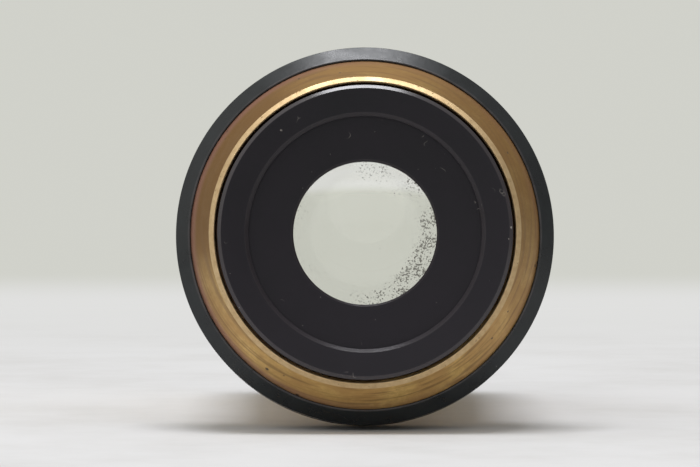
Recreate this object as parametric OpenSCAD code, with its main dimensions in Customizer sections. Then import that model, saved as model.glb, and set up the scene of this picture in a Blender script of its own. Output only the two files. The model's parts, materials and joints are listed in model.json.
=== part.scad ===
// Microscope eyepiece with a black-ringed brass head, a draw-tube fit and two lenses.
// Everything is turned about one optical axis. Heights are counted along that axis from
// the shoulder that rests on the draw tube: plus is towards the eye, minus towards the
// objective. The finished part lies with its axis along Y and its eye end towards -Y.

/* [Head] */
// Outside diameter of the black grip ring
head_d = 30; // [29.9:0.1:31]
// Height of the head above the shoulder, to the face of the lens cell
head_h = 10; // [9.8:0.1:10.6]
// Thickness of the brass foot flange under the grip ring
flange_h = 0.9; // [0.6:0.1:1.1]
// Diameter of the brass foot flange
flange_d = 28.8; // [28.2:0.1:29.2]
// Width of the bevel round the front of the grip ring, across the radius
bevel_w = 1.05; // [0.8:0.05:1.1]
// Depth of that bevel, along the axis
bevel_h = 0.95; // [0.6:0.05:1.1]
// Number of ribs in the milled band of the grip ring
rib_n = 96; // [60:1:120]

/* [Brass collar] */
// Depth from the front of the head back to the crest of the grip ring
ring_drop = 3.2; // [3:0.1:3.4]
// Diameter of the collar's foot, where it comes out of the grip ring
foot_d = 27.62; // [27.4:0.02:27.64]
// Diameter at the top of the cone, where the worn front edge begins
cone_top_d = 24.56; // [24.5:0.02:24.7]
// Depth from the front of the head to the collar's front edge
collar_drop = 0.3; // [0.2:0.05:0.4]
// Slope of the worn front edge, in degrees
edge_slope = 40; // [30:1:45]

/* [Eye lens cell] */
// Diameter of the black cell's front rim
cell_d = 23.2; // [23:0.02:23.3]
// Width of the bevel round the cell's face
cell_bevel = 0.28; // [0.15:0.01:0.3]
// Fall of the cell's face from its rim to the step
face_dish = 0.4; // [0.2:0.05:0.6]
// Diameter of the stepped floor of the cell
floor_d = 18.34; // [18:0.02:18.8]
// Drop from the face to the floor
floor_drop = 0.5; // [0.4:0.02:0.6]
// Diameter of the aperture over the eye lens
aperture_d = 11.3; // [10.8:0.1:11.8]

/* [Lenses] */
// Diameter of the eye lens
eye_lens_d = 13; // [12.6:0.1:13.2]
// Radius of the eye lens's curved side
eye_lens_r = 12.5; // [12:0.1:13.5]
// Thickness of the eye lens at its centre
eye_lens_t = 2.75; // [2.6:0.05:3]
// Diameter of the field lens
field_lens_d = 18.4; // [18:0.1:18.6]
// Radius of the field lens's curved side
field_lens_r = 25; // [24:0.1:28]
// Thickness of the field lens at its centre
field_lens_t = 2.9; // [2.7:0.05:3.1]

/* [Tube] */
// Outside diameter of the body tube, a standard draw-tube fit
tube_d = 23.2; // [23.1:0.05:23.3]
// Wall of the body tube
tube_wall = 0.8; // [0.75:0.05:0.85]
// Length of the body tube below the shoulder
tube_l = 33; // [32:0.5:36]

/* [Field stop] */
// Diameter of the hole in the field stop
stop_d = 13; // [10:0.5:15]
// Length of the split sleeve that carries the stop
sleeve_l = 8; // [7:0.5:8]
// Distance from the shoulder down to the stop
stop_depth = 18; // [14:0.2:18]

/* [Hidden] */
$fn = 96;

// fits, all on the radius
run_gap = 0.05;      // turning and screwing pieces
seat_gap = 0.02;     // a lens against its seat
rim_gap = 0.2;       // groove between the collar and the cell's rim
edge = 0.3;          // small turned chamfers
fine_edge = 0.15;    // finest ones, round the aperture and at the tube's tail
rib_sunk = 0.12;     // the ribs stay this much below the ring's outside

head_r = head_d / 2;
crest_h = head_h - ring_drop;            // front of the grip ring
shell_r = foot_d / 2;                    // outside of the collar, bore of the grip ring
crest_r = shell_r + 0.05;                // inside of the grip ring's front edge
groove_h = 0.12;                         // the cone starts this far below the crest
collar_h = head_h - collar_drop;         // front edge of the collar
collar_r = cell_d / 2 + rim_gap;         // inside of the collar
cell_face = head_h;
cell_seat = collar_h - 2.5;              // where the cell's rim lands in the collar
cell_thread_r = 11.2;
cell_thread_l = 1.6;
tube_r = tube_d / 2;
bore_r = tube_r - tube_wall;
spigot_l = 3;                            // threaded top of the tube, up inside the head
spigot_r = cell_thread_r + run_gap;
seat_l = 0.5;                            // tapered seat of the tube inside the shoulder
seat_relief = 0.05;                      // the seat opens this much wider than the tube

// eye lens: flat side to the eye, dome to the objective
plate_t = 0.6;
step_h = cell_face - face_dish;          // the face's inner edge, at the step
step_bevel = 0.28;                       // bevel round the step
floor_h = step_h - floor_drop;           // top of the stepped floor at its outer edge
floor_dish = 0.3;                        // the floor falls this much towards the aperture
aperture_h = floor_h - floor_dish;
eye_seat = aperture_h - plate_t;
eye_flat = eye_seat - seat_gap;
eye_vertex = eye_flat - eye_lens_t;

// how far a dome of radius r stands above its own rim of radius a, measured at radius x
function sag(r, a, x) = sqrt(r * r - x * x) - sqrt(r * r - a * a);
eye_rim = eye_vertex + sag(eye_lens_r, eye_lens_d / 2, 0);
eye_ring_r = 6.95;                       // thread of the ring that holds the eye lens
eye_land_r = eye_lens_d / 2 - 0.06;      // the ring touches the lens here
eye_land = eye_rim - sag(eye_lens_r, eye_lens_d / 2, eye_land_r) - seat_gap;

// field lens, the same way round
field_thread_r = bore_r - run_gap;
field_thread_l = 5;
field_flange_h = 1;
field_flange_r = tube_r - 0.3;
field_top = -tube_l + field_thread_l;
field_seat = field_top - 0.5;
field_flat = field_seat - seat_gap;
field_vertex = field_flat - field_lens_t;
field_rim = field_vertex + sag(field_lens_r, field_lens_d / 2, 0);
field_ring_r = 9.65;
field_land_r = field_lens_d / 2 - 0.1;
field_land = field_rim - sag(field_lens_r, field_lens_d / 2, field_land_r) - seat_gap;

// field stop and its carrier
sleeve_r = bore_r - run_gap;
sleeve_bore = sleeve_r - 0.5;
stop_t = 0.6;
stop_r = sleeve_bore - 0.05;
wire_r = 0.3;
ledge_t = 0.6;
ledge_r = sleeve_bore - 0.65;
sleeve_top = -stop_depth + sleeve_l / 2;
sleeve_slit = 1.6;
slot_w = 1.2;                            // spanner slots in the lens rings
slot_h = 0.7;

// a solid turned about the optical axis from [radius, height] points, laid along Y
module turned(points, angle = 360) {
    lay() rotate_extrude(angle = angle) polygon(points);
}

module lay() {
    rotate([90, 0, 0]) children();
}

// two spanner slots across a ring, cut upwards from height h
module spanner_slots(r, h) {
    translate([-r - 1, -slot_w / 2, h - 1]) cube([2 * r + 2, slot_w, slot_h + 1]);
}

// a plano-convex lens with its flat face at height flat and its dome below
module plano_convex(d, r, t, flat) {
    intersection() {
        translate([0, 0, flat - t]) cylinder(d = d, h = t);
        translate([0, 0, flat - t + r]) sphere(r = r);
    }
}

module head_shell() {
    lip = 0.1;                           // blunt inner corner of the worn edge
    worn_r = collar_r + lip;
    cone_top = collar_h - (cone_top_d / 2 - worn_r) * tan(edge_slope);
    color("#8f6f3e") turned([
        [tube_r + seat_relief, 0], [flange_d / 2, 0], [flange_d / 2, flange_h],
        [shell_r, flange_h], [shell_r, crest_h - groove_h], [cone_top_d / 2, cone_top],
        [worn_r, collar_h], [collar_r, collar_h - lip], [collar_r, cell_seat],
        [spigot_r, cell_seat], [spigot_r, seat_l]]);
}

module grip_ring() {
    rib_lo = flange_h + 0.7;
    rib_hi = rib_lo + 2;
    rib_root = head_r - 0.38;
    lap = 0.1;                           // the ribs run this far into the metal round them
    color("#24282b") {
        turned([[shell_r, flange_h], [head_r - edge, flange_h], [head_r, flange_h + edge],
                [head_r, rib_lo], [rib_root, rib_lo], [rib_root, rib_hi], [head_r, rib_hi],
                [head_r, crest_h - bevel_h], [head_r - bevel_w, crest_h],
                [crest_r, crest_h], [shell_r, crest_h - groove_h]]);
        lay() translate([0, 0, rib_lo - lap]) linear_extrude(rib_hi - rib_lo + 2 * lap)
            difference() {
                polygon([for (i = [0:2 * rib_n - 1]) let (a = 180 * i / rib_n,
                    r = i % 2 == 0 ? head_r - rib_sunk : rib_root + lap / 2)
                    r * [cos(a), sin(a)]]);
                circle(r = rib_root - 2 * lap);
            }
    }
}

module body_tube() {
    color("#a5824a") turned([[bore_r, spigot_l], [spigot_r, spigot_l], [spigot_r, seat_l],
        [tube_r, 0], [tube_r, -tube_l + fine_edge], [tube_r - fine_edge, -tube_l],
        [bore_r, -tube_l]]);
}

module eye_lens_cell() {
    rim_r = cell_d / 2;
    boss_r = eye_ring_r + 1;
    boss_end = eye_land - 1.5;
    skirt = cell_seat - cell_thread_l;
    plate = cell_seat + 0.5;             // underside of the face
    color("#221f24") turned([
        [aperture_d / 2, aperture_h - fine_edge], [aperture_d / 2 + fine_edge, aperture_h],
        [floor_d / 2, floor_h], [floor_d / 2, step_h - step_bevel],
        [floor_d / 2 + step_bevel, step_h], [rim_r - cell_bevel, cell_face],
        [rim_r, cell_face - cell_bevel * tan(edge_slope)], [rim_r, cell_seat],
        [cell_thread_r, cell_seat], [cell_thread_r, skirt], [cell_thread_r - 0.9, skirt],
        [cell_thread_r - 0.9, plate], [boss_r, plate], [boss_r, boss_end],
        [eye_ring_r, boss_end], [eye_ring_r, eye_land], [eye_lens_d / 2 + run_gap, eye_land],
        [eye_lens_d / 2 + run_gap, eye_seat], [aperture_d / 2, eye_seat]]);
}

module eye_lens() {
    color("#cfd8cf", 0.5) lay() plano_convex(eye_lens_d, eye_lens_r, eye_lens_t, eye_flat);
}

module eye_lens_retainer() {
    low = eye_land - 1.3;
    color("#2b2724") lay() difference() {
        rotate_extrude() polygon([[eye_ring_r, low], [eye_ring_r, eye_land],
            [eye_land_r, eye_land], [eye_land_r - 0.6, eye_land - 0.75],
            [eye_land_r - 0.6, low]]);
        spanner_slots(eye_ring_r, low);
    }
}

module stop_sleeve() {
    color("#2a2622") lay() difference() {
        rotate_extrude() polygon([
            [sleeve_r, sleeve_top], [sleeve_bore, sleeve_top], [sleeve_bore, -stop_depth],
            [ledge_r, -stop_depth], [ledge_r, -stop_depth - ledge_t],
            [sleeve_bore, -stop_depth - ledge_t], [sleeve_bore, sleeve_top - sleeve_l],
            [sleeve_r, sleeve_top - sleeve_l]]);
        translate([ledge_r - 1, -sleeve_slit / 2, sleeve_top - sleeve_l - 1])
            cube([sleeve_r - ledge_r + 2, sleeve_slit, sleeve_l + 2]);
    }
}

// thin disc, bevelled to a fine edge round its hole
module field_stop() {
    color("#1d1c1c") turned([[stop_d / 2 + 0.5, -stop_depth], [stop_r, -stop_depth],
        [stop_r, -stop_depth + stop_t], [stop_d / 2, -stop_depth + stop_t],
        [stop_d / 2, -stop_depth + stop_t - 0.1]]);
}

// split wire ring that snaps in over the stop
module stop_circlip() {
    color("#8d8f92") lay() translate([0, 0, -stop_depth + stop_t + wire_r]) rotate([0, 0, 12])
        rotate_extrude(angle = 336) translate([sleeve_bore - wire_r - 0.02, 0])
            circle(r = wire_r, $fn = 24);
}

module field_lens_cell() {
    inner = field_lens_d / 2 - 0.5;
    end = -tube_l - field_flange_h;
    color("#97763f") turned([
        [inner, field_top], [field_thread_r, field_top], [field_thread_r, -tube_l],
        [field_flange_r, -tube_l], [field_flange_r, end + edge], [field_flange_r - edge, end],
        [field_ring_r + fine_edge, end], [field_ring_r, end + fine_edge],
        [field_ring_r, field_land],
        [field_lens_d / 2 + run_gap, field_land], [field_lens_d / 2 + run_gap, field_seat],
        [inner, field_seat]]);
}

module field_lens() {
    color("#cfd8cf", 0.5) lay()
        plano_convex(field_lens_d, field_lens_r, field_lens_t, field_flat);
}

module field_lens_retainer() {
    low = field_land - 1.4;
    color("#2b2724") lay() difference() {
        rotate_extrude() polygon([[field_ring_r, low], [field_ring_r, field_land],
            [field_land_r, field_land], [field_land_r - 0.7, field_land - 0.8],
            [field_land_r - 0.7, low]]);
        spanner_slots(field_ring_r, low);
    }
}

head_shell();
grip_ring();
body_tube();
eye_lens_cell();
eye_lens();
eye_lens_retainer();
stop_sleeve();
field_stop();
stop_circlip();
field_lens_cell();
field_lens();
field_lens_retainer();
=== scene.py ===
"""Looks of a brass microscope eyepiece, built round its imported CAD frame.

The optical axis is Y: the eye end faces -Y and the open end of the tube faces +Y. Outlines
of turned pieces are read from the CAD nodes as (radius, height) pairs in millimetres, with
height counted along the axis towards the eye, and are turned again with softened edges.
"""
import json
import math

import bmesh
import bpy
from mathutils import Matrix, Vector

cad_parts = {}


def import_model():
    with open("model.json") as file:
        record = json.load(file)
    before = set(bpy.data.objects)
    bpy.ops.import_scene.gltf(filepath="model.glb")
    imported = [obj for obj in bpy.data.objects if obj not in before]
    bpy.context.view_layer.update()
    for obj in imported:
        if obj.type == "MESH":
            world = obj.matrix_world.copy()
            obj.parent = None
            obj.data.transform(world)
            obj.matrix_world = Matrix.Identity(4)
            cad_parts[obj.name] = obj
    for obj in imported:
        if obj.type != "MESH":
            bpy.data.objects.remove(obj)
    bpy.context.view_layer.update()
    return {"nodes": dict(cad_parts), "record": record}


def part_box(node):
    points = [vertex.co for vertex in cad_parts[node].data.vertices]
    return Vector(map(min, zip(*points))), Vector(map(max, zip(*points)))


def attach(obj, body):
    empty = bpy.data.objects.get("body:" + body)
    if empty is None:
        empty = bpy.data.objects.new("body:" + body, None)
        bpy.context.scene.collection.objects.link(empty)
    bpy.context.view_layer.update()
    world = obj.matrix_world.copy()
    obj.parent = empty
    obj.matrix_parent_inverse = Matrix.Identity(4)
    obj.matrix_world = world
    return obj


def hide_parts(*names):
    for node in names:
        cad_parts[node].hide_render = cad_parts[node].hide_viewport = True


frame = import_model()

MM = 0.001
SEGMENTS = 320          # steps round a turned piece
THREAD_PITCH = 0.5      # mm
THREAD_DEPTH = 0.16     # mm
RIBS = 96               # in the milled band
RIB_STEPS = 8           # steps round each of them
SLOT_WIDTH = 1.2        # mm, spanner slots in the lens rings
SLOT_DEPTH = 0.7        # mm

record = frame["record"]
body_of_node = {n: body for body, nodes in record["behaviour"]["bodies"].items() for n in nodes}

ring_low, ring_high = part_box("grip_ring")
cell_low, cell_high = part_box("eye_lens_cell")
tube_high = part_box("body_tube")[1]
HEAD_R = ring_high.x / MM
CREST_H = -ring_low.y / MM
TUBE_R = tube_high.x / MM
CELL_R = cell_high.x / MM
CELL_FACE = -cell_low.y / MM
EYE_FLAT = -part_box("eye_lens")[0].y / MM


# ---------------------------------------------------------------- turned outlines

def outline_of(node, skip=None):
    """The node's closed outline as (radius, height) pairs, walked from link to link."""
    mesh = frame["nodes"][node].data
    points = []

    def station(vertex):
        r = math.hypot(vertex.co.x, vertex.co.z) / MM
        h = -vertex.co.y / MM
        for k, (pr, ph) in enumerate(points):
            if abs(pr - r) < 0.01 and abs(ph - h) < 0.01:
                return k
        points.append((r, h))
        return len(points) - 1

    where = [station(v) for v in mesh.vertices]
    links = {k: set() for k in range(len(points))}
    for e in mesh.edges:
        a, b = (where[i] for i in e.vertices)
        if a != b:
            links[a].add(b)
            links[b].add(a)
    if skip:
        gone = {k for k, p in enumerate(points) if skip(*p)}
        links = {k: s - gone for k, s in links.items() if k not in gone}
    ends = [k for k, s in links.items() if len(s) == 1]
    path = [ends[0] if ends else min(links)]
    while True:
        ahead = [k for k in links[path[-1]] if k not in path]
        if not ahead:
            return [points[k] for k in path]
        path.append(ahead[0])


def corners(outline):
    """The outline without the points that lie along its straight stretches."""
    out = []
    count = len(outline)
    for k in range(count):
        before, here, after = (Vector(outline[(k + d) % count]) for d in (-1, 0, 1))
        if (here - before).angle(after - here) > math.radians(2):
            out.append(outline[k])
    return out


def softened(outline, radius, steps=4):
    """The closed outline with each corner rounded, and a support point on each side of it."""
    out = []
    outline = corners(outline)
    count = len(outline)
    for k in range(count):
        before, here, after = (Vector(outline[(k + d) % count]) for d in (-1, 0, 1))
        back, ahead = before - here, after - here
        turn = math.pi - back.angle(ahead)
        if turn < math.radians(14):
            out.append(tuple(here))
            continue
        cut = min(radius * math.tan(turn / 2), 0.3 * back.length, 0.3 * ahead.length)
        start = here + back.normalized() * cut
        end = here + ahead.normalized() * cut
        out.append(tuple(start + back.normalized() * cut * 0.5))
        for i in range(steps + 1):
            t = i / steps
            point = start * (1 - t) ** 2 + here * 2 * t * (1 - t) + end * t ** 2
            out.append(tuple(point))
        out.append(tuple(end + ahead.normalized() * cut * 0.5))
    return out


def finer(outline, low, high, step):
    """The outline with points added every step along the part between two heights."""
    out = []
    for (r0, h0), (r1, h1) in zip(outline, outline[1:] + outline[:1]):
        out.append((r0, h0))
        if abs(r1 - r0) < 1e-3 and abs(h1 - h0) > 1 and low < (h0 + h1) / 2 < high:
            parts = int(abs(h1 - h0) / step)
            out += [(r0, h0 + (h1 - h0) * i / parts) for i in range(1, parts)]
    return out


def thread_cut(low, high, radius):
    """Depth of a V thread at (radius, height, angle), fading out at both of its ends."""
    def depth(r, h, angle):
        if abs(r - radius) > 0.02 or not low < h < high:
            return 0
        turn = (h / THREAD_PITCH - angle / math.tau) % 1
        fade = min(1, (h - low) / THREAD_PITCH, (high - h) / THREAD_PITCH)
        return THREAD_DEPTH * abs(2 * turn - 1) * fade
    return depth


def turned(name, outline, depth=None, segments=SEGMENTS):
    """A solid turned about the optical axis; depth(r, h, angle) is cut from its radius."""
    mesh = bpy.data.meshes.new(name)
    bm = bmesh.new()
    rings = []
    for i in range(segments):
        a = math.tau * i / segments
        column = []
        for r, h in outline:
            rr = r - depth(r, h, a) if depth else r
            column.append(bm.verts.new((rr * math.cos(a) * MM, -h * MM, rr * math.sin(a) * MM)))
        rings.append(column)
    for i, column in enumerate(rings):
        following = rings[(i + 1) % segments]
        for k in range(len(outline)):
            n = (k + 1) % len(outline)
            bm.faces.new((column[k], column[n], following[n], following[k]))
    bmesh.ops.remove_doubles(bm, verts=bm.verts, dist=1e-7)
    bmesh.ops.recalc_face_normals(bm, faces=bm.faces)
    for face in bm.faces:
        face.smooth = True
    bm.to_mesh(mesh)
    bm.free()
    piece = bpy.data.objects.new(name, mesh)
    bpy.context.scene.collection.objects.link(piece)
    return piece


def lens_outline(node, rings=56, chamfer=0.08):
    """Plano-convex outline of a lens node: flat face to the eye, true dome behind."""
    outline = outline_of(node)
    radius = max(r for r, h in outline)
    flat = max(h for r, h in outline)
    vertex = min(h for r, h in outline)
    rim = min(h for r, h in outline if r > radius - 0.01)
    rise = rim - vertex
    curve = (radius ** 2 + rise ** 2) / (2 * rise)
    widest = math.asin((radius - chamfer) / curve)
    dome = []
    for i in range(rings + 1):
        a = widest * (1 - i / rings)
        dome.append((curve * math.sin(a), vertex + curve * (1 - math.cos(a))))
    edge = [(0, flat), (radius - 3 * chamfer, flat), (radius - chamfer, flat),
            (radius, flat - chamfer), (radius, rim + chamfer)]
    return edge + dome


def cut_slots(piece, width, low, high):
    """Cuts two spanner slots across a ring, between two heights."""
    bm = bmesh.new()
    bmesh.ops.create_cube(bm, size=1)
    span = 2 * TUBE_R
    bmesh.ops.scale(bm, verts=bm.verts, vec=(span * MM, (high - low) * MM, width * MM))
    bmesh.ops.translate(bm, verts=bm.verts, vec=(0, -(low + high) / 2 * MM, 0))
    mesh = bpy.data.meshes.new("slot_cutter")
    bm.to_mesh(mesh)
    bm.free()
    cutter = bpy.data.objects.new("slot_cutter", mesh)
    bpy.context.scene.collection.objects.link(cutter)
    modifier = piece.modifiers.new("slots", "BOOLEAN")
    modifier.object = cutter
    modifier.solver = "EXACT"
    ready = piece.evaluated_get(bpy.context.evaluated_depsgraph_get())
    cut = bpy.data.meshes.new_from_object(ready)
    piece.modifiers.clear()
    piece.data = cut
    bpy.data.objects.remove(cutter)


def stands_for(piece, node, material):
    """The piece takes the given material and the node's body and place, and the CAD node isn't
    shown.
    """
    piece.data.materials.clear()
    piece.data.materials.append(material)
    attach(piece, body_of_node[node])
    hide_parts(node)
    return piece


# ---------------------------------------------------------------- shader building

class Nodes:
    """Short ways to add and join nodes in one tree."""

    def __init__(self, tree):
        self.tree = tree

    def add(self, kind, inputs=None, **settings):
        node = self.tree.nodes.new(kind)
        for key, value in settings.items():
            setattr(node, key, value)
        for key, value in (inputs or {}).items():
            self.feed(node.inputs[key], value)
        return node

    def feed(self, socket, value):
        if isinstance(value, bpy.types.NodeSocket):
            self.tree.links.new(value, socket)
        else:
            socket.default_value = value

    def math(self, operation, a, b=0.0, clamp=False):
        node = self.add("ShaderNodeMath", {0: a, 1: b}, operation=operation, use_clamp=clamp)
        return node.outputs[0]

    def smooth(self, value, low, high, start=0.0, end=1.0):
        node = self.add("ShaderNodeMapRange", {"Value": value, "From Min": low,
                        "From Max": high, "To Min": start, "To Max": end},
                        interpolation_type="SMOOTHSTEP")
        return node.outputs[0]

    def mix(self, factor, a, b):
        node = self.add("ShaderNodeMix", data_type="RGBA")
        self.feed(node.inputs["Factor"], factor)
        self.feed(node.inputs[6], a)
        self.feed(node.inputs[7], b)
        return node.outputs[2]

    def group(self, tree, inputs=None):
        return self.add("ShaderNodeGroup", inputs, node_tree=tree)


def new_group(name, inputs, outputs):
    """An empty shader group; inputs and outputs are (name, socket kind, default) rows."""
    tree = bpy.data.node_groups.new(name, "ShaderNodeTree")
    for label, kind, default in inputs:
        socket = tree.interface.new_socket(label, in_out="INPUT", socket_type=kind)
        if default is not None:
            socket.default_value = default
    for label, kind in outputs:
        tree.interface.new_socket(label, in_out="OUTPUT", socket_type=kind)
    nodes = Nodes(tree)
    return tree, nodes, nodes.add("NodeGroupInput"), nodes.add("NodeGroupOutput")


FLOAT, VECTOR = "NodeSocketFloat", "NodeSocketVector"


def axis_coordinates_group():
    """Where a point lies on the turned piece: radius, height, direction round, all in mm."""
    tree, n, _, out = new_group("axis_coordinates", [], [
        ("Radius", FLOAT), ("Height", FLOAT), ("Up", FLOAT), ("Left", FLOAT),
        ("Profile", VECTOR), ("Round", VECTOR), ("Position", VECTOR)])
    place = n.add("ShaderNodeTexCoord").outputs["Object"]
    position = n.add("ShaderNodeVectorMath", {0: place, 3: 1 / MM}, operation="SCALE").outputs[0]
    xyz = n.add("ShaderNodeSeparateXYZ", {0: position}).outputs
    radius = n.math("SQRT", n.math("ADD", n.math("POWER", xyz[0], 2.0),
                                   n.math("POWER", xyz[2], 2.0)))
    safe = n.math("MAXIMUM", radius, 0.01)
    height = n.math("MULTIPLY", xyz[1], -1.0)
    right = n.math("DIVIDE", xyz[0], safe)
    up = n.math("DIVIDE", xyz[2], safe)
    profile = n.add("ShaderNodeCombineXYZ", {0: radius, 1: height}).outputs[0]
    around = n.add("ShaderNodeCombineXYZ", {0: right, 1: up}).outputs[0]
    for key, value in (("Radius", radius), ("Height", height), ("Up", up),
                       ("Left", n.math("MULTIPLY", right, -1.0)), ("Profile", profile),
                       ("Round", around), ("Position", position)):
        n.feed(out.inputs[key], value)
    return tree


def turning_marks_group():
    """Fine tool marks that run round the piece."""
    tree, n, given, out = new_group("turning_marks", [
        ("Profile", VECTOR, None), ("Round", VECTOR, None),
        ("Marks per mm", FLOAT, 8.0), ("Drift", FLOAT, 0.6)], [("Height", FLOAT)])
    across = n.add("ShaderNodeVectorMath", {0: given.outputs["Profile"],
                   3: given.outputs["Marks per mm"]}, operation="SCALE").outputs[0]
    along = n.add("ShaderNodeVectorMath", {0: given.outputs["Round"],
                  3: given.outputs["Drift"]}, operation="SCALE").outputs[0]
    where = n.add("ShaderNodeVectorMath", {0: across, 1: along}, operation="ADD").outputs[0]
    noise = n.add("ShaderNodeTexNoise", {"Vector": where, "Scale": 1.0, "Detail": 2.0})
    n.feed(out.inputs["Height"], noise.outputs["Fac"])
    return tree


def blotches_group():
    """Soft patches, such as tarnish and handling stains."""
    tree, n, given, out = new_group("blotches", [
        ("Position", VECTOR, None), ("Size mm", FLOAT, 4.0), ("Cover", FLOAT, 0.5),
        ("Softness", FLOAT, 0.12)], [("Mask", FLOAT)])
    scale = n.math("DIVIDE", 1.0, given.outputs["Size mm"])
    noise = n.add("ShaderNodeTexNoise", {"Vector": given.outputs["Position"], "Scale": scale,
                  "Detail": 5.0, "Roughness": 0.62}).outputs["Fac"]
    edge = n.math("SUBTRACT", 1.0, given.outputs["Cover"])
    low = n.math("SUBTRACT", edge, given.outputs["Softness"])
    high = n.math("ADD", edge, given.outputs["Softness"])
    n.feed(out.inputs["Mask"], n.smooth(noise, low, high))
    return tree


def specks_group():
    """Small separate spots: dust, pits and flakes. Share is how many cells hold one."""
    tree, n, given, out = new_group("specks", [
        ("Position", VECTOR, None), ("Spacing mm", FLOAT, 1.0), ("Size mm", FLOAT, 0.05),
        ("Share", FLOAT, 0.3)], [("Mask", FLOAT)])
    scale = n.math("DIVIDE", 1.0, given.outputs["Spacing mm"])
    bent = n.add("ShaderNodeTexNoise", {"Vector": given.outputs["Position"], "Scale": 9.0})
    shift = n.add("ShaderNodeVectorMath", {0: bent.outputs["Color"], 3: 0.16},
                  operation="SCALE").outputs[0]
    where = n.add("ShaderNodeVectorMath", {0: given.outputs["Position"], 1: shift},
                  operation="ADD").outputs[0]
    cells = n.add("ShaderNodeTexVoronoi", {"Vector": where, "Scale": scale})
    chance = n.add("ShaderNodeSeparateColor", {0: cells.outputs["Color"]}).outputs
    present = n.math("LESS_THAN", chance[0], given.outputs["Share"])
    reach = n.math("MULTIPLY", given.outputs["Size mm"], scale)
    grown = n.math("MULTIPLY", reach, n.math("ADD", chance[1], 0.4))
    inner = n.math("MULTIPLY", grown, 0.5)
    spot = n.smooth(cells.outputs["Distance"], inner, grown, 1.0, 0.0)
    n.feed(out.inputs["Mask"], n.math("MULTIPLY", present, spot))
    return tree


def scratches_group():
    """Thin wandering lines; the vector says along which way they are stretched."""
    tree, n, given, out = new_group("scratches", [
        ("Vector", VECTOR, None), ("Scale", FLOAT, 3.0), ("Width", FLOAT, 0.03),
        ("Share", FLOAT, 0.4)], [("Mask", FLOAT)])
    noise = n.add("ShaderNodeTexNoise", {"Vector": given.outputs["Vector"],
                  "Scale": given.outputs["Scale"], "Detail": 1.0})
    off = n.math("ABSOLUTE", n.math("SUBTRACT", noise.outputs["Fac"], 0.5))
    line = n.smooth(off, 0.0, given.outputs["Width"], 1.0, 0.0)
    patch = n.add("ShaderNodeTexNoise", {"Vector": given.outputs["Vector"],
                  "Scale": n.math("MULTIPLY", given.outputs["Scale"], 0.37)})
    limit = n.math("SUBTRACT", 1.0, given.outputs["Share"])
    kept = n.smooth(patch.outputs["Fac"], limit, n.math("ADD", limit, 0.08))
    n.feed(out.inputs["Mask"], n.math("MULTIPLY", line, kept))
    return tree


AXIS = axis_coordinates_group()
TURNING = turning_marks_group()
BLOTCHES = blotches_group()
SPECKS = specks_group()
SCRATCHES = scratches_group()


def new_material(name, **settings):
    """A node material with its shader's constant values set on the shader itself."""
    material = bpy.data.materials.new(name)
    material.use_nodes = True
    tree = material.node_tree
    tree.nodes.clear()
    n = Nodes(tree)
    shader = n.add("ShaderNodeBsdfPrincipled")
    for key, value in settings.items():
        shader.inputs[key.replace("_", " ")].default_value = value
    output = n.add("ShaderNodeOutputMaterial")
    tree.links.new(shader.outputs[0], output.inputs["Surface"])
    return material, n, shader, n.group(AXIS).outputs


def bump(n, shader, *layers):
    """Joins (height, depth in mm) layers into one chain of bump nodes."""
    normal = None
    for height, depth in layers:
        node = n.add("ShaderNodeBump", {"Height": height, "Strength": 1.0,
                     "Distance": depth * MM})
        if normal:
            n.feed(node.inputs["Normal"], normal)
        normal = node.outputs[0]
    n.feed(shader.inputs["Normal"], normal)


# ---------------------------------------------------------------- materials

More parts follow.
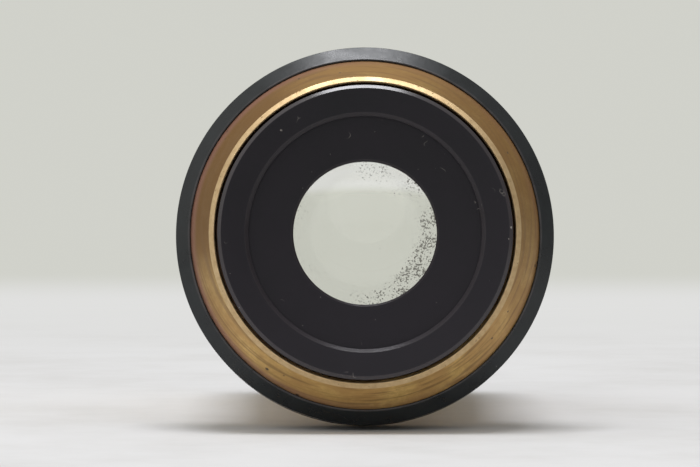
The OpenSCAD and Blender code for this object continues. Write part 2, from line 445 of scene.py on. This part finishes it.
def head_brass():
    """Turned brass with painted shade darkening its upper half and a reddish painted shade at
    its foot; its front edge worn bright.
    """
    material, n, shader, at = new_material("head_brass", Anisotropic=0.5)
    tangent = n.add("ShaderNodeTangent", direction_type="RADIAL", axis="Y")
    n.feed(shader.inputs["Tangent"], tangent.outputs[0])
    marks = n.group(TURNING, {"Profile": at["Profile"], "Round": at["Round"],
                    "Marks per mm": 11.0, "Drift": 0.8}).outputs[0]
    broad = n.group(BLOTCHES, {"Position": at["Position"], "Size mm": 3.2, "Cover": 0.52,
                    "Softness": 0.14}).outputs[0]
    fine = n.group(BLOTCHES, {"Position": at["Position"], "Size mm": 0.5, "Cover": 0.5,
                   "Softness": 0.2}).outputs[0]
    pits = n.group(SPECKS, {"Position": at["Position"], "Spacing mm": 1.1, "Size mm": 0.15,
                   "Share": 0.4}).outputs[0]
    streaks = n.group(TURNING, {"Profile": at["Profile"], "Round": at["Round"],
                      "Marks per mm": 2.2, "Drift": 3.0}).outputs[0]
    nicks = n.group(SPECKS, {"Position": at["Position"], "Spacing mm": 0.3, "Size mm": 0.07,
                    "Share": 0.3}).outputs[0]
    outside = n.smooth(at["Radius"], EDGE_INNER - 0.02, EDGE_INNER + 0.02)
    raised = n.smooth(at["Height"], EDGE_LOW - 0.03, EDGE_LOW + 0.03)
    worn = n.math("MULTIPLY", outside, raised)
    foot = n.math("MULTIPLY", n.smooth(at["Height"], CREST_H - 0.6, CREST_H - 0.2),
                  n.smooth(at["Height"], CREST_H + 0.1, CREST_H + 0.9, 1.0, 0.0))
    # painted shade: the upper half of the cone is darkened, a little less at the very top and on
    # the right
    upper_shade = n.smooth(at["Up"], -0.8, 0.1)
    upper_shade = n.math("MULTIPLY", upper_shade, n.smooth(at["Up"], 0.8, 1.0, 1.0, 0.7))
    upper_shade = n.math("MULTIPLY", upper_shade, n.smooth(at["Left"], -1.0, 1.0, 0.75, 0.95))
    cone = n.mix(fine, (0.54, 0.35, 0.105, 1), (0.72, 0.48, 0.17, 1))
    cone = n.mix(broad, cone, (0.48, 0.285, 0.095, 1))
    cone = n.mix(upper_shade, cone, (0.17, 0.085, 0.022, 1))
    cone = n.mix(n.smooth(streaks, 0.48, 0.66, 0.0, 0.6), cone, (0.20, 0.11, 0.04, 1))
    # painted shade in the crevice at the cone's foot by the grip ring, in a reddish tone,
    # stronger on the left
    foot_shade = n.math("MULTIPLY", foot, n.smooth(at["Left"], -0.35, 0.9, 0.25, 0.9))
    cone = n.mix(foot_shade, cone, (0.27, 0.135, 0.095, 1))
    cone = n.mix(pits, cone, (0.10, 0.065, 0.04, 1))
    edge = n.mix(fine, (0.60, 0.45, 0.26, 1), (0.50, 0.36, 0.195, 1))
    edge = n.mix(n.math("MULTIPLY", nicks, 0.7), edge, (0.30, 0.20, 0.10, 1))
    n.feed(shader.inputs["Base Color"], n.mix(worn, cone, edge))
    n.feed(shader.inputs["Metallic"], n.smooth(worn, 0.0, 1.0, 0.4, 1.0))
    rough_cone = n.smooth(broad, 0.0, 1.0, 0.46, 0.56)
    rough = n.math("ADD", rough_cone, n.math("MULTIPLY", worn, 0.02))
    n.feed(shader.inputs["Roughness"], rough)
    bump(n, shader, (marks, 0.004), (fine, 0.003),
         (n.math("SUBTRACT", 1.0, n.math("MAXIMUM", pits, nicks)), 0.015))
    return material


def tube_brass():
    """Lacquered brass tube, rubbed along its length by the draw tube."""
    material, n, shader, at = new_material("tube_brass", Metallic=1.0, Anisotropic=0.3)
    tangent = n.add("ShaderNodeTangent", direction_type="RADIAL", axis="Y")
    n.feed(shader.inputs["Tangent"], tangent.outputs[0])
    marks = n.group(TURNING, {"Profile": at["Profile"], "Round": at["Round"],
                    "Marks per mm": 6.0, "Drift": 0.5}).outputs[0]
    stains = n.group(BLOTCHES, {"Position": at["Position"], "Size mm": 7.0, "Cover": 0.46,
                     "Softness": 0.1}).outputs[0]
    mottle = n.group(BLOTCHES, {"Position": at["Position"], "Size mm": 1.1, "Cover": 0.5,
                     "Softness": 0.25}).outputs[0]
    long_way = n.add("ShaderNodeVectorMath", {0: at["Position"], 1: (1.0, 0.07, 1.0)},
                     operation="MULTIPLY").outputs[0]
    rubs = n.group(SCRATCHES, {"Vector": long_way, "Scale": 1.6, "Width": 0.025,
                   "Share": 0.5}).outputs[0]
    pits = n.group(SPECKS, {"Position": at["Position"], "Spacing mm": 1.6, "Size mm": 0.12,
                   "Share": 0.25}).outputs[0]
    metal = n.mix(mottle, (0.56, 0.40, 0.165, 1), (0.64, 0.47, 0.22, 1))
    metal = n.mix(stains, metal, (0.40, 0.245, 0.09, 1))
    metal = n.mix(n.math("MULTIPLY", rubs, 0.5), metal, (0.80, 0.65, 0.38, 1))
    metal = n.mix(pits, metal, (0.10, 0.06, 0.035, 1))
    n.feed(shader.inputs["Base Color"], metal)
    rough = n.smooth(stains, 0.0, 1.0, 0.27, 0.42)
    n.feed(shader.inputs["Roughness"], n.math("SUBTRACT", rough, n.math("MULTIPLY", rubs, 0.08)))
    bump(n, shader, (marks, 0.0025), (rubs, 0.003), (n.math("SUBTRACT", 1.0, pits), 0.015))
    return material


def black_lacquer():
    """Old black lacquer on the grip ring, dulled and rubbed along its front corner."""
    material, n, shader, at = new_material("black_lacquer", Specular_IOR_Level=0.35)
    cloud = n.group(BLOTCHES, {"Position": at["Position"], "Size mm": 2.6, "Cover": 0.5,
                    "Softness": 0.2}).outputs[0]
    peel = n.group(BLOTCHES, {"Position": at["Position"], "Size mm": 0.35, "Cover": 0.5,
                   "Softness": 0.3}).outputs[0]
    dust = n.group(SPECKS, {"Position": at["Position"], "Spacing mm": 1.3, "Size mm": 0.07,
                   "Share": 0.2}).outputs[0]
    hairs = n.group(SCRATCHES, {"Vector": at["Position"], "Scale": 0.9, "Width": 0.006,
                    "Share": 0.35}).outputs[0]
    marks = n.group(TURNING, {"Profile": at["Profile"], "Round": at["Round"],
                    "Marks per mm": 5.0, "Drift": 0.4}).outputs[0]
    crest = n.smooth(at["Height"], CREST_H - 0.09, CREST_H - 0.02)
    rubbed = n.math("MULTIPLY", crest, n.smooth(cloud, 0.0, 1.0, 0.3, 0.8))
    coat = n.mix(cloud, (0.0055, 0.0073, 0.0085, 1), (0.0105, 0.0135, 0.015, 1))
    coat = n.mix(n.math("MULTIPLY", hairs, 0.4), coat, (0.06, 0.063, 0.066, 1))
    coat = n.mix(rubbed, coat, (0.06, 0.054, 0.056, 1))
    coat = n.mix(n.math("MULTIPLY", dust, 0.7), coat, (0.34, 0.33, 0.32, 1))
    n.feed(shader.inputs["Base Color"], coat)
    rough = n.smooth(cloud, 0.0, 1.0, 0.26, 0.38)
    n.feed(shader.inputs["Roughness"], n.math("ADD", rough, n.math("MULTIPLY", dust, 0.3)))
    bump(n, shader, (marks, 0.002), (peel, 0.002))
    return material


def cell_black():
    """Matt instrument black on the eye lens cell, glossier on its bevels, with dust and lint;
    painted light on its lower side and painted highlight with worn paint along its edges.
    """
    material, n, shader, at = new_material("cell_black", Specular_IOR_Level=0.24,
                                           Coat_Roughness=0.2)
    marks = n.group(TURNING, {"Profile": at["Profile"], "Round": at["Round"],
                    "Marks per mm": 7.0, "Drift": 0.5}).outputs[0]
    cloud = n.group(BLOTCHES, {"Position": at["Position"], "Size mm": 4.5, "Cover": 0.5,
                    "Softness": 0.22}).outputs[0]
    grain = n.group(BLOTCHES, {"Position": at["Position"], "Size mm": 0.12, "Cover": 0.5,
                    "Softness": 0.3}).outputs[0]
    dust = n.group(SPECKS, {"Position": at["Position"], "Spacing mm": 2.3, "Size mm": 0.13,
                   "Share": 0.22}).outputs[0]
    fine_dust = n.group(SPECKS, {"Position": at["Position"], "Spacing mm": 0.7,
                        "Size mm": 0.05, "Share": 0.3}).outputs[0]
    lint = n.group(SCRATCHES, {"Vector": at["Position"], "Scale": 1.3, "Width": 0.03,
                   "Share": 0.31}).outputs[0]
    # painted light: the black paint is a little lighter towards the lower side
    lower_side_light = n.smooth(at["Up"], -1.0, 1.0, 1.0, 0.0)
    paint = n.mix(cloud, (0.0075, 0.0068, 0.0095, 1), (0.0115, 0.0098, 0.0135, 1))
    paint = n.mix(n.math("MULTIPLY", lower_side_light, 0.35), paint, (0.016, 0.0125, 0.0185, 1))
    rim = n.smooth(at["Radius"], CELL_R - 0.31, CELL_R - 0.27)
    above = n.smooth(at["Radius"], STEP_R - 0.03, STEP_R + 0.03)
    below = n.smooth(at["Radius"], STEP_R + 0.26, STEP_R + 0.34, 1.0, 0.0)
    mouth = n.smooth(at["Radius"], APERTURE_R + 0.12, APERTURE_R + 0.2, 1.0, 0.0)
    edges = n.math("MAXIMUM", n.math("MULTIPLY", above, below), mouth)
    edges = n.math("MAXIMUM", n.math("MULTIPLY", rim, 0.6), n.math("MULTIPLY", edges, 0.4))
    # painted highlight with worn paint: the rim, step and mouth edges are made lighter and
    # pinkish; the same mask makes them glossier
    paint = n.mix(n.math("MULTIPLY", edges, 0.2), paint, (0.10, 0.07, 0.075, 1))
    specks = n.math("MAXIMUM", dust, n.math("MULTIPLY", fine_dust, 0.45))
    specks = n.math("MAXIMUM", specks, n.math("MULTIPLY", lint, 0.5))
    paint = n.mix(specks, paint, (0.36, 0.33, 0.30, 1))
    n.feed(shader.inputs["Base Color"], paint)
    rough = n.smooth(cloud, 0.0, 1.0, 0.50, 0.62)
    n.feed(shader.inputs["Roughness"], n.math("SUBTRACT", rough, n.math("MULTIPLY", rim, 0.25)))
    n.feed(shader.inputs["Coat Weight"], edges)
    bump(n, shader, (marks, 0.003), (grain, 0.0015))
    return material


def ring_black():
    """Chemically blackened brass of the screw rings, the stop and its sleeve."""
    material, n, shader, at = new_material("ring_black", Metallic=0.6)
    marks = n.group(TURNING, {"Profile": at["Profile"], "Round": at["Round"],
                    "Marks per mm": 7.0, "Drift": 0.5}).outputs[0]
    worn = n.group(BLOTCHES, {"Position": at["Position"], "Size mm": 1.6, "Cover": 0.36,
                   "Softness": 0.1}).outputs[0]
    n.feed(shader.inputs["Base Color"],
           n.mix(worn, (0.022, 0.019, 0.017, 1), (0.085, 0.06, 0.035, 1)))
    n.feed(shader.inputs["Roughness"], n.smooth(worn, 0.0, 1.0, 0.55, 0.42))
    bump(n, shader, (marks, 0.003))
    return material


def spring_wire():
    """Drawn steel wire with a few rust freckles."""
    material, n, shader, at = new_material("spring_wire", Metallic=1.0)
    rust = n.group(BLOTCHES, {"Position": at["Position"], "Size mm": 0.9, "Cover": 0.35,
                   "Softness": 0.08}).outputs[0]
    lines = n.group(SCRATCHES, {"Vector": at["Position"], "Scale": 2.5, "Width": 0.02,
                    "Share": 0.5}).outputs[0]
    n.feed(shader.inputs["Base Color"],
           n.mix(rust, (0.46, 0.46, 0.47, 1), (0.20, 0.12, 0.07, 1)))
    n.feed(shader.inputs["Roughness"], n.smooth(rust, 0.0, 1.0, 0.25, 0.6))
    bump(n, shader, (lines, 0.002))
    return material


def lens_glass():
    """Old crown glass: faintly green, its eye face crusted with dirt towards the rim."""
    material, n, shader, at = new_material("lens_glass", IOR=1.52, Transmission_Weight=1.0,
                                           Specular_IOR_Level=0.12)
    eye_face = n.smooth(at["Height"], EYE_FLAT - 0.06, EYE_FLAT - 0.03)
    near_rim = n.smooth(at["Radius"], APERTURE_R * 0.45, APERTURE_R * 0.95)
    right = n.smooth(at["Left"], -1.0, 0.5, 1.0, 0.35)
    crowd = n.group(BLOTCHES, {"Position": at["Position"], "Size mm": 2.4, "Cover": 0.55,
                    "Softness": 0.15}).outputs[0]
    gathered = n.math("MULTIPLY", n.math("MULTIPLY", near_rim, right), crowd)
    cover = n.smooth(gathered, 0.0, 1.0, 0.31, 0.52)
    crumbs = n.group(BLOTCHES, {"Position": at["Position"], "Size mm": 0.16, "Cover": cover,
                     "Softness": 0.02}).outputs[0]
    dots = n.group(SPECKS, {"Position": at["Position"], "Spacing mm": 1.1, "Size mm": 0.07,
                   "Share": 0.25}).outputs[0]
    haze = n.group(BLOTCHES, {"Position": at["Position"], "Size mm": 2.8, "Cover": 0.42,
                   "Softness": 0.25}).outputs[0]
    clear = n.mix(n.math("MULTIPLY", haze, 0.6), (0.985, 0.99, 0.965, 1),
                  (0.955, 0.96, 0.925, 1))
    dirt = n.math("MULTIPLY", eye_face, n.math("MAXIMUM", crumbs, dots))
    n.feed(shader.inputs["Base Color"],
           n.mix(n.math("MULTIPLY", dirt, 0.95), clear, (0.05, 0.042, 0.035, 1)))
    n.feed(shader.inputs["Roughness"], n.math("MULTIPLY", dirt, 0.3))
    return material


# ---------------------------------------------------------------- pieces

shell_outline = outline_of("head_shell")
front_edge = [p for p in corners(shell_outline) if p[1] > CREST_H + 1]
EDGE_INNER = min(front_edge, key=lambda p: p[0])[0]
EDGE_LOW = max(front_edge, key=lambda p: p[0])[1]
cell_outline = outline_of("eye_lens_cell")
APERTURE_R = min(p[0] for p in cell_outline)
step_wall = [r for r, h in cell_outline
             if CELL_FACE - 0.75 < h < CELL_FACE - 0.3 and r < CELL_R - 1]
STEP_R = min(step_wall)


def stations(node):
    """Every vertex of a CAD node as (radius, height)."""
    return [(math.hypot(v.co.x, v.co.z) / MM, -v.co.y / MM)
            for v in frame["nodes"][node].data.vertices]


def ribbed_depth(root, tip, low, high, count):
    """Depth of the milled band's flutes: rounded ribs between two heights."""
    def depth(r, h, angle):
        if not low - 0.01 <= h <= high + 0.01 or abs(r - tip) > 0.02:
            return 0
        fade = min(1, (h - low) / 0.25, (high - h) / 0.25)
        wave = 0.5 - 0.5 * math.cos(angle * count)
        return (tip - root) * wave ** 0.7 * max(0, fade)
    return depth


def in_milled_band(r, h):
    return 1.3 < h < 0.7 * CREST_H and r < HEAD_R - 0.05


def grip_ring_piece(material):
    """The black ring: bevelled front, plain land, and the milled band behind it."""
    ribs = [r for r, h in stations("grip_ring") if in_milled_band(r, h)]
    root, tip = min(r for r in ribs if r > HEAD_R - 0.4), max(ribs)
    outline = outline_of("grip_ring", skip=in_milled_band)
    low, high = sorted((outline[0][1], outline[-1][1]))
    if outline[0][1] > outline[-1][1]:
        outline.reverse()
    outline = softened(outline + [(tip, high), (tip, low)], 0.05)
    flutes = ribbed_depth(root, tip, low, high, RIBS)
    piece = turned("grip_ring_milled", finer(outline, low, high, 0.12), flutes, RIBS * RIB_STEPS)
    return stands_for(piece, "grip_ring", material)


def screwed_cell(node, name, material, soft):
    """A lens cell turned from its outline, with a real thread on its threaded length."""
    outline = softened(outline_of(node), soft)
    walls = {}
    for (r0, h0), (r1, h1) in zip(outline, outline[1:] + outline[:1]):
        if abs(r0 - r1) < 1e-3 and r0 < TUBE_R - 0.3:
            walls[r0] = sorted((h0, h1))
    radius = max(walls)
    low, high = walls[radius]
    threaded = finer(outline, low, high, THREAD_PITCH / 6)
    piece = turned(name, threaded, thread_cut(low, high, radius))
    return stands_for(piece, node, material)


def lens_ring(node, material):
    """A screwed lens ring with two spanner slots in its outer face."""
    points = stations(node)
    outer, inner = max(r for r, h in points), min(r for r, h in points)
    low, high = min(h for r, h in points), max(h for r, h in points)
    land = min(r for r, h in points if h > high - 0.01)
    neck = max(h for r, h in points if r < inner + 0.01)
    outline = [(outer, low), (outer, high), (land, high), (inner, neck), (inner, low)]
    piece = turned(node + "_slotted", softened(outline, 0.04))
    cut_slots(piece, SLOT_WIDTH, low - 1, low + SLOT_DEPTH)
    return stands_for(piece, node, material)


brass_head = head_brass()
brass_tube = tube_brass()
lacquer = black_lacquer()
matt_black = cell_black()
blackened = ring_black()
wire = spring_wire()
glass = lens_glass()

stands_for(turned("head_shell_turned", softened(shell_outline, 0.05)), "head_shell", brass_head)
grip_ring_piece(lacquer)
stands_for(turned("body_tube_turned", softened(outline_of("body_tube"), 0.06)),
           "body_tube", brass_tube)

screwed_cell("eye_lens_cell", "eye_lens_cell_turned", matt_black, 0.04)
screwed_cell("field_lens_cell", "field_lens_cell_turned", brass_tube, 0.06)
stands_for(turned("field_stop_turned", softened(outline_of("field_stop"), 0.02)),
           "field_stop", blackened)

for lens in ("eye_lens", "field_lens"):
    stands_for(turned(lens + "_ground", lens_outline(lens)), lens, glass)
    lens_ring(lens + "_retainer", blackened)

for node, material in (("stop_sleeve", blackened), ("stop_circlip", wire)):
    cad = frame["nodes"][node]
    cad.data.materials.clear()
    cad.data.materials.append(material)


# ---------------------------------------------------------------- stage

WALL = (0.635, 0.64, 0.593)
TABLE = (0.745, 0.745, 0.735)


def floor_material():
    """White table top, lit near the eyepiece; farther off it has one even tone, then the wall's.

    Seen through the glass, the wall's tone starts nearer. Other rays find it all round."""
    material = bpy.data.materials.new("pale_floor")
    material.use_nodes = True
    tree = material.node_tree
    tree.nodes.clear()
    n = Nodes(tree)
    place = n.add("ShaderNodeTexCoord").outputs["Object"]
    y = n.add("ShaderNodeSeparateXYZ", {0: place}).outputs[1]
    away = n.add("ShaderNodeVectorMath", {0: place}, operation="LENGTH").outputs["Value"]
    cloud = n.add("ShaderNodeTexNoise", {"Vector": place, "Scale": 45.0, "Detail": 6.0,
                  "Roughness": 0.65}).outputs["Fac"]
    tone = n.mix(n.smooth(cloud, 0.35, 0.75), (0.70, 0.70, 0.70, 1), (0.62, 0.615, 0.605, 1))
    near = n.add("ShaderNodeBsdfPrincipled", {"Base Color": tone, "Roughness": 0.6})
    ray = n.add("ShaderNodeLightPath").outputs
    direct, through = ray["Is Camera Ray"], ray["Is Transmission Ray"]
    other = n.math("SUBTRACT", 1.0, n.math("MAXIMUM", direct, through))
    horizon = n.math("MAXIMUM", n.smooth(y, 0.205, 0.30), n.math("SUBTRACT", 1.0, direct))
    far_tone = n.mix(horizon, (*TABLE, 1), (*WALL, 1))
    far = n.add("ShaderNodeEmission", {"Color": far_tone})
    table_end = n.math("MULTIPLY", direct, n.smooth(y, 0.04, 0.19))
    glass_end = n.math("MULTIPLY", through, n.smooth(y, 0.090, 0.102))
    near_end = n.math("MAXIMUM", n.smooth(y, 0.06, 0.075), n.smooth(away, 0.16, 0.30))
    near_end = n.math("MULTIPLY", near_end, other)
    ends = n.math("MAXIMUM", table_end, n.math("MAXIMUM", glass_end, near_end))
    blend = n.add("ShaderNodeMixShader", {0: ends})
    tree.links.new(near.outputs[0], blend.inputs[1])
    tree.links.new(far.outputs[0], blend.inputs[2])
    output = n.add("ShaderNodeOutputMaterial")
    tree.links.new(blend.outputs[0], output.inputs["Surface"])
    return material


def floor():
    """A wide round floor; the eyepiece lies on its grip ring and the end of its tube."""
    bm = bmesh.new()
    bmesh.ops.create_circle(bm, cap_ends=True, radius=3.0, segments=96)
    mesh = bpy.data.meshes.new("floor")
    bm.to_mesh(mesh)
    bm.free()
    mesh.materials.append(floor_material())
    piece = bpy.data.objects.new("floor", mesh)
    length = tube_high.y - ring_high.y
    piece.location = (0, ring_high.y, -HEAD_R * MM)
    piece.rotation_euler = (math.atan2((HEAD_R - TUBE_R) * MM, length), 0, 0)
    bpy.context.scene.collection.objects.link(piece)


def world():
    """Soft room light, stronger from the left and the front, with a little more from above.

    Seen directly or through the glass, the room has the wall's tone."""
    sky = bpy.data.worlds.new("room")
    bpy.context.scene.world = sky
    sky.use_nodes = True
    tree = sky.node_tree
    tree.nodes.clear()
    n = Nodes(tree)
    way = n.add("ShaderNodeTexCoord").outputs["Generated"]
    xyz = n.add("ShaderNodeSeparateXYZ", {0: way}).outputs
    left = n.smooth(xyz[0], -1.0, 1.0, 0.95, 0.42)
    above = n.smooth(xyz[2], 0.2, 0.8, 0.0, 0.15)
    behind = n.smooth(xyz[1], 0.05, 0.6, 1.0, 0.3)
    strength = n.math("MULTIPLY", n.math("ADD", left, above), behind)
    room = n.add("ShaderNodeBackground", {"Color": (1.0, 0.99, 0.96, 1),
                 "Strength": strength})
    wall = n.add("ShaderNodeBackground", {"Color": (*WALL, 1), "Strength": 1.0})
    ray = n.add("ShaderNodeLightPath").outputs
    seen = n.math("MAXIMUM", ray["Is Camera Ray"], ray["Is Transmission Ray"])
    mixed = n.add("ShaderNodeMixShader", {0: seen})
    tree.links.new(room.outputs[0], mixed.inputs[1])
    tree.links.new(wall.outputs[0], mixed.inputs[2])
    output = n.add("ShaderNodeOutputWorld")
    tree.links.new(mixed.outputs[0], output.inputs["Surface"])


def soft_box(name, place, size, power, colour=(1, 1, 1)):
    """A rectangular soft light, aimed at the eyepiece's head."""
    light = bpy.data.lights.new(name, "AREA")
    light.shape = "RECTANGLE"
    light.size, light.size_y = size
    light.energy = power
    light.color = colour
    lamp = bpy.data.objects.new(name, light)
    lamp.location = place
    lamp.visible_transmission = False
    lamp.rotation_euler = (-Vector(place)).to_track_quat("-Z", "Y").to_euler()
    bpy.context.scene.collection.objects.link(lamp)


def camera():
    """Looks at the head from the eye end, from just above the floor and below the axis."""
    distance = 0.32
    elevation = math.radians(-3.9)
    head = 2 * HEAD_R * MM
    picture_width = 1.828 * head        # width of the view at the head
    aim = Vector((-0.0395 * head, cell_low.y, -0.0045 * head))
    data = bpy.data.cameras.new("camera")
    data.sensor_width = 36
    data.lens = data.sensor_width * distance / picture_width
    data.clip_start = 0.005
    viewer = bpy.data.objects.new("camera", data)
    back = Vector((0, -math.cos(elevation), math.sin(elevation)))
    viewer.location = aim + back * distance
    viewer.rotation_euler = (-back).to_track_quat("-Z", "Y").to_euler()
    bpy.context.scene.collection.objects.link(viewer)
    bpy.context.scene.camera = viewer


floor()
world()
soft_box("overhead", (-0.01, -0.05, 0.42), (0.22, 0.13), 1.3, (0.95, 0.96, 1.0))
camera()
bpy.context.scene.view_settings.view_transform = "Standard"
